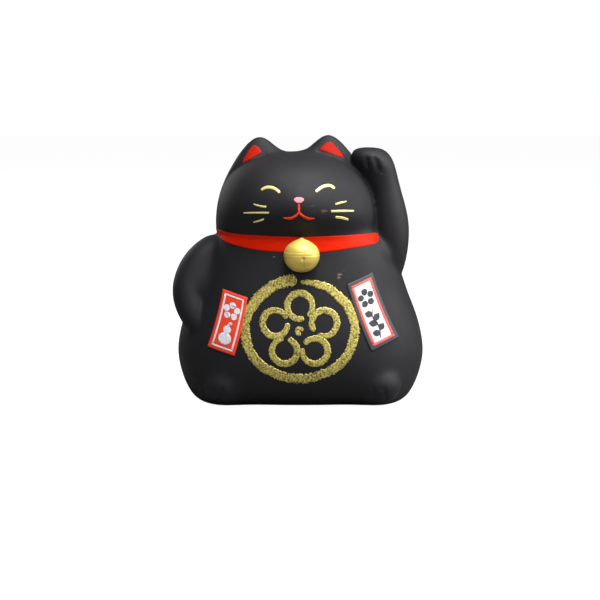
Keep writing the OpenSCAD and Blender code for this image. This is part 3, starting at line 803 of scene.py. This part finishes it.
# %% The bell
bell_low = box_mm("bell")[0]
BELL_R = 6.8
bell_x = 1.2
bell_y = bell_low.y + BELL_R
bell_z = bell_low.z + 0.95 * BELL_R
outline = [(0, -0.95), (0.22, -0.93), (0.45, -0.86), (0.66, -0.73), (0.83, -0.54), (0.95, -0.31),
           (1.0, -0.06), (0.985, 0.14), (0.93, 0.31), (0.83, 0.47), (0.69, 0.61), (0.52, 0.73),
           (0.35, 0.82), (0.2, 0.885), (0.1, 0.94), (0.0, 0.985)]
curve = smooth_line(outline, 90)
curve[:, 0] = np.maximum(curve[:, 0], 0)
bell = spun("bell_visual", [(BELL_R * r, bell_z + BELL_R * h) for r, h in curve], bell_x, bell_y, 180)
for height in (0.05, 0.22):
    r = BELL_R * (1.0 if height < 0.1 else 0.965)
    press(bell, [(bell_x + r * math.cos(a), bell_y + r * math.sin(a), bell_z + height * BELL_R)
                 for a in np.linspace(0, 2 * math.pi, 73)], 0.1, 0.22)
press(bell, [(bell_x + 0.6, bell_y - 0.99 * BELL_R, bell_z - 0.17 * BELL_R),
             (bell_x + 0.6, bell_y - 0.9 * BELL_R, bell_z - 0.45 * BELL_R),
             (bell_x + 0.6, bell_y - 0.7 * BELL_R, bell_z - 0.7 * BELL_R)], 0.3, 0.3)
press(bell, [(bell_x + 0.5, bell_y - BELL_R, bell_z - 0.13 * BELL_R),
             (bell_x + 0.7, bell_y - BELL_R, bell_z - 0.13 * BELL_R)], 0.45, 0.55)
settle(bell, "bell_visual", bell_gold)
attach(bell, "figure")
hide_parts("bell")

# %% [markdown]
# ## The paper charms
# Each charm is a slip of printed paper, glued to the coat. The paper is a sheet laid on the skin, and
# each part of the print is a thinner sheet laid on the paper: a border line and plain motifs.

# %% A charm's own places
def charm_place(corners, bow):
    """From a charm's own (u, v), both in -1..1, to the front view; bow curves its long sides."""
    tl, tr, br, bl = (np.array(c, float) for c in corners)
    down = (bl + br - tl - tr) / 2
    sideways = np.array([-down[1], down[0]]) / np.linalg.norm(down)

    def place(u, v):
        s, t = (u + 1) / 2, (1 - v) / 2
        point = tl * (1 - s) * (1 - t) + tr * s * (1 - t) + bl * (1 - s) * t + br * s * t
        return tuple(point + sideways * bow * (1 - v ** 2))

    return place


def charm_sheet(place, low, high, steps=(25, 51)):
    (u0, v0), (u1, v1) = low, high
    return sheet(steps[0], steps[1], lambda u, v: place(u0 + (u1 - u0) * u, v0 + (v1 - v0) * (v + 1) / 2))


def frame_lines(place, u, v, thick_u, thick_v):
    """Four thin sheets along a rectangle's sides."""
    return [charm_sheet(place, (-u, v - thick_v), (u, v), (13, 3)),
            charm_sheet(place, (-u, -v), (u, -v + thick_v), (13, 3)),
            charm_sheet(place, (-u, -v + thick_v), (-u + thick_u, v - thick_v), (3, 25)),
            charm_sheet(place, (u - thick_u, -v + thick_v), (u, v - thick_v), (3, 25))]


def ink_line(place, line, width, start=0.9, end=0.9):
    """A brushed mark through a charm's own points."""
    return brush([place(*p) for p in line], width, start, end, step=0.1, across=8)


def laid(pieces, proud, material):
    """Sheets laid on the skin as one piece of one material."""
    piece = join(*[lay(p, skin, proud, bed=0.1, crown=0.0) for p in pieces])
    return settle(piece, "print", material)


def blossom_marks(place, centre, size, width, squeeze):
    """Five round petals round a centre, each one a short plump mark."""
    cu, cv = centre
    out = []
    for k in range(5):
        a = math.radians(90 + 72 * k)
        du, dv = size * math.cos(a), size * squeeze * math.sin(a)
        out.append(ink_line(place, [(cu + 0.42 * du, cv + 0.42 * dv), (cu + du, cv + dv),
                                    (cu + 1.45 * du, cv + 1.45 * dv)], width, 0.7, 1.1))
    return out


def twig_marks(place, stem, leaves, width):
    """A thin stem with plump pointed leaves."""
    out = [ink_line(place, stem, 0.45, 0.8, 0.5)]
    for (u, v), (du, dv) in leaves:
        line = [(u, v), (u + du / 2, v + dv * 0.62), (u + du, v + dv)]
        out.append(ink_line(place, line, width, 0.25, 0.2))
    return out


# %% The red charm: white border line, a blossom and a gourd
PAPER_RISE, FIELD_RISE, BORDER_RISE, PRINT_RISE, INK_RISE = 0.3, 0.335, 0.345, 0.38, 0.42
red_at = charm_place([(-28.7, 46.4), (-19.2, 43.9), (-24.2, 22.1), (-34.6, 24.7)], 0.45)
ROW = 0.44
red_paper = laid([charm_sheet(red_at, (-1, -1), (1, 1))], PAPER_RISE, charm_red)
white_print = frame_lines(red_at, 0.78, 0.89, 0.12, 0.05)
white_print += blossom_marks(red_at, (0.0, 0.39), 0.46, 2.4, ROW)
white_print.append(ink_line(red_at, [(0.26, 0.0), (0.08, -0.03), (0.0, -0.16)], 1.0))
white_print.append(ink_line(red_at, [(-0.28, -0.24), (0.28, -0.24)], 3.1))
white_print.append(ink_line(red_at, [(-0.46, -0.55), (0.46, -0.55)], 4.6))
white_print = laid(white_print, PRINT_RISE, charm_white)
red_charm = join(red_paper, white_print)
settle(red_charm, "red_charm_visual")
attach(red_charm, "figure")
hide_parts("red_charm")

# %% The white charm: grey backing, coral border, a dark blossom and a leafy twig
white_at = charm_place([(18.4, 48.8), (28.1, 52.6), (38.4, 27.8), (27.7, 23.7)], -0.6)
backing = laid([charm_sheet(white_at, (-1, -1), (1, 1))], PAPER_RISE, charm_grey)
coral = laid(frame_lines(white_at, 0.79, 0.90, 0.17, 0.07), BORDER_RISE, charm_coral)
field = laid([charm_sheet(white_at, (-0.62, -0.83), (0.62, 0.83))], FIELD_RISE, charm_white)
ink = blossom_marks(white_at, (0.0, 0.43), 0.41, 2.2, ROW)
ink += twig_marks(white_at, [(-0.12, -0.76), (0.1, -0.45), (-0.05, -0.15), (0.12, 0.08)],
                  [((0.0, -0.66), (-0.46, 0.12)), ((0.06, -0.56), (0.42, 0.13)),
                   ((0.06, -0.38), (-0.50, 0.14)), ((-0.02, -0.26), (0.48, 0.14)),
                   ((-0.02, -0.10), (-0.44, 0.15))], 2.3)
ink = laid(ink, INK_RISE, charm_ink)
white_charm = join(backing, coral, field, ink)
settle(white_charm, "white_charm_visual")
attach(white_charm, "figure")
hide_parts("white_charm")

# %% [markdown]
# ## The stopper
# The stopper is a soft cup, moulded in one piece with a bar to pull it by. Its outline is spun round the
# upright axis; the bar is a block with rounded edges.

# %% The stopper
stop_low, stop_high = box_mm("stopper")
TOP = stop_high.z
WALL = 1.6
PLUG_R = BORE_R - 0.05
FLANGE_R = 19.0
FLOOR_Z = TOP - WALL
cup_line = [(0, TOP), (PLUG_R - 1.2, TOP), (PLUG_R - 0.35, TOP - 0.35), (PLUG_R, TOP - 1.2),
            (PLUG_R, SEAT_Z + 0.2), (PLUG_R + 0.2, SEAT_Z), (18.7, SEAT_Z), (FLANGE_R, SEAT_Z - 0.3),
            (FLANGE_R, SEAT_Z - 1.2), (18.7, stop_low.z), (15.0, stop_low.z),
            (PLUG_R - WALL, stop_low.z + 0.5), (PLUG_R - WALL, FLOOR_Z - 0.8),
            (PLUG_R - WALL - 0.8, FLOOR_Z), (6.2, FLOOR_Z), (5.9, FLOOR_Z - 0.25),
            (5.3, FLOOR_Z - 0.25), (5.0, FLOOR_Z), (0, FLOOR_Z)]
stopper = spun("stopper_visual", cup_line, HIP_X, 0, 128)
bar = block((HIP_X - PLUG_R + 1.0, -WALL / 2, stop_low.z + 0.05),
            (HIP_X + PLUG_R - 1.0, WALL / 2, FLOOR_Z + 0.4))
apply_modifier(bar, "BEVEL", width=0.35 * MM, segments=4, limit_method="ANGLE")
stopper = join(stopper, bar)
settle(stopper, "stopper_visual", rubber.material)
select_only(stopper)
bpy.ops.object.shade_smooth_by_angle(angle=math.radians(35))
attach(stopper, "stopper")
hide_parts("stopper")
bpy.data.objects.remove(plain_castings)

# %% [markdown]
# ## Camera, light and floor
# The camera looks from a little above, as one looks at a small figure on a shelf. Soft lights hang above
# and to the right, and a weak one behind gives the left side a pale rim. The front fill lights the paint
# and the paper but isn't mirrored in the black coat. The white surround is there for the camera and
# gives almost no light. Places and sizes here are in metres.

# %% Camera
CAMERA_DISTANCE = 0.62
CAMERA_RISE = math.radians(8)
aim = Vector((0.0006, 0, 0.0383))
camera_data = bpy.data.cameras.new("camera")
camera_data.lens = 93
camera_data.sensor_width = 36
camera = bpy.data.objects.new("camera", camera_data)
bpy.context.scene.collection.objects.link(camera)
camera.location = aim + CAMERA_DISTANCE * Vector((0, -math.cos(CAMERA_RISE), math.sin(CAMERA_RISE)))
camera.rotation_euler = (math.pi / 2 - CAMERA_RISE, 0, 0)
bpy.context.scene.camera = camera
bpy.context.scene.view_settings.view_transform = "Standard"

# %% Lights
def softbox(name, place, size, power, target=(0, 0, 0.05)):
    data = bpy.data.lights.new(name, "AREA")
    data.shape = "DISK"
    data.size = size
    data.energy = power
    lamp = bpy.data.objects.new(name, data)
    bpy.context.scene.collection.objects.link(lamp)
    lamp.location = place
    lamp.rotation_euler = (Vector(target) - Vector(place)).to_track_quat("-Z", "Y").to_euler()
    return lamp


softbox("key_above_right", (0.68, -0.22, 0.64), 0.6, 7.5)
softbox("top", (0.12, -0.25, 0.86), 0.5, 12)
softbox("rim_left", (-0.5, 0.7, 0.3), 0.4, 1.2)
softbox("side_right", (0.75, 0.05, 0.25), 0.4, 3.0)
fill = softbox("fill_front", (-0.1, -0.9, 0.35), 0.6, 4.2)
fill.visible_glossy = False

# %% White surround and floor
world = bpy.data.worlds.new("studio")
bpy.context.scene.world = world
world.use_nodes = True
tree = world.node_tree
back = tree.nodes["Background"]
ray = tree.nodes.new("ShaderNodeLightPath")
level = tree.nodes.new("ShaderNodeMapRange")
level.inputs["To Min"].default_value = 0.04
level.inputs["To Max"].default_value = 1.0
tree.links.new(ray.outputs["Is Camera Ray"], level.inputs["Value"])
tree.links.new(level.outputs["Result"], back.inputs["Strength"])
back.inputs["Color"].default_value = (1, 1, 1, 1)

select_only()
bpy.ops.mesh.primitive_plane_add(size=6, location=(0, 0, 0))
pale = bpy.data.materials.new("studio_floor")
pale.use_nodes = True
tree = pale.node_tree
shader = tree.nodes["Principled BSDF"]
shader.inputs["Base Color"].default_value = (0.15, 0.15, 0.15, 1)
shader.inputs["Roughness"].default_value = 0.9
shader.inputs["Specular IOR Level"].default_value = 0.0
ray = tree.nodes.new("ShaderNodeLightPath")
glow = tree.nodes.new("ShaderNodeMapRange")
glow.inputs["To Min"].default_value = 0.0
glow.inputs["To Max"].default_value = 0.97
tree.links.new(ray.outputs["Is Camera Ray"], glow.inputs["Value"])
tree.links.new(glow.outputs["Result"], shader.inputs["Emission Strength"])
shader.inputs["Emission Color"].default_value = (1, 1, 1, 1)
below = tree.nodes.new("ShaderNodeNewGeometry")
clear = tree.nodes.new("ShaderNodeBsdfTransparent")
mix = tree.nodes.new("ShaderNodeMixShader")
tree.links.new(below.outputs["Backfacing"], mix.inputs["Fac"])
tree.links.new(shader.outputs["BSDF"], mix.inputs[1])
tree.links.new(clear.outputs["BSDF"], mix.inputs[2])
tree.links.new(mix.outputs["Shader"], tree.nodes["Material Output"].inputs["Surface"])
floor = settle(bpy.context.object, "floor", pale)
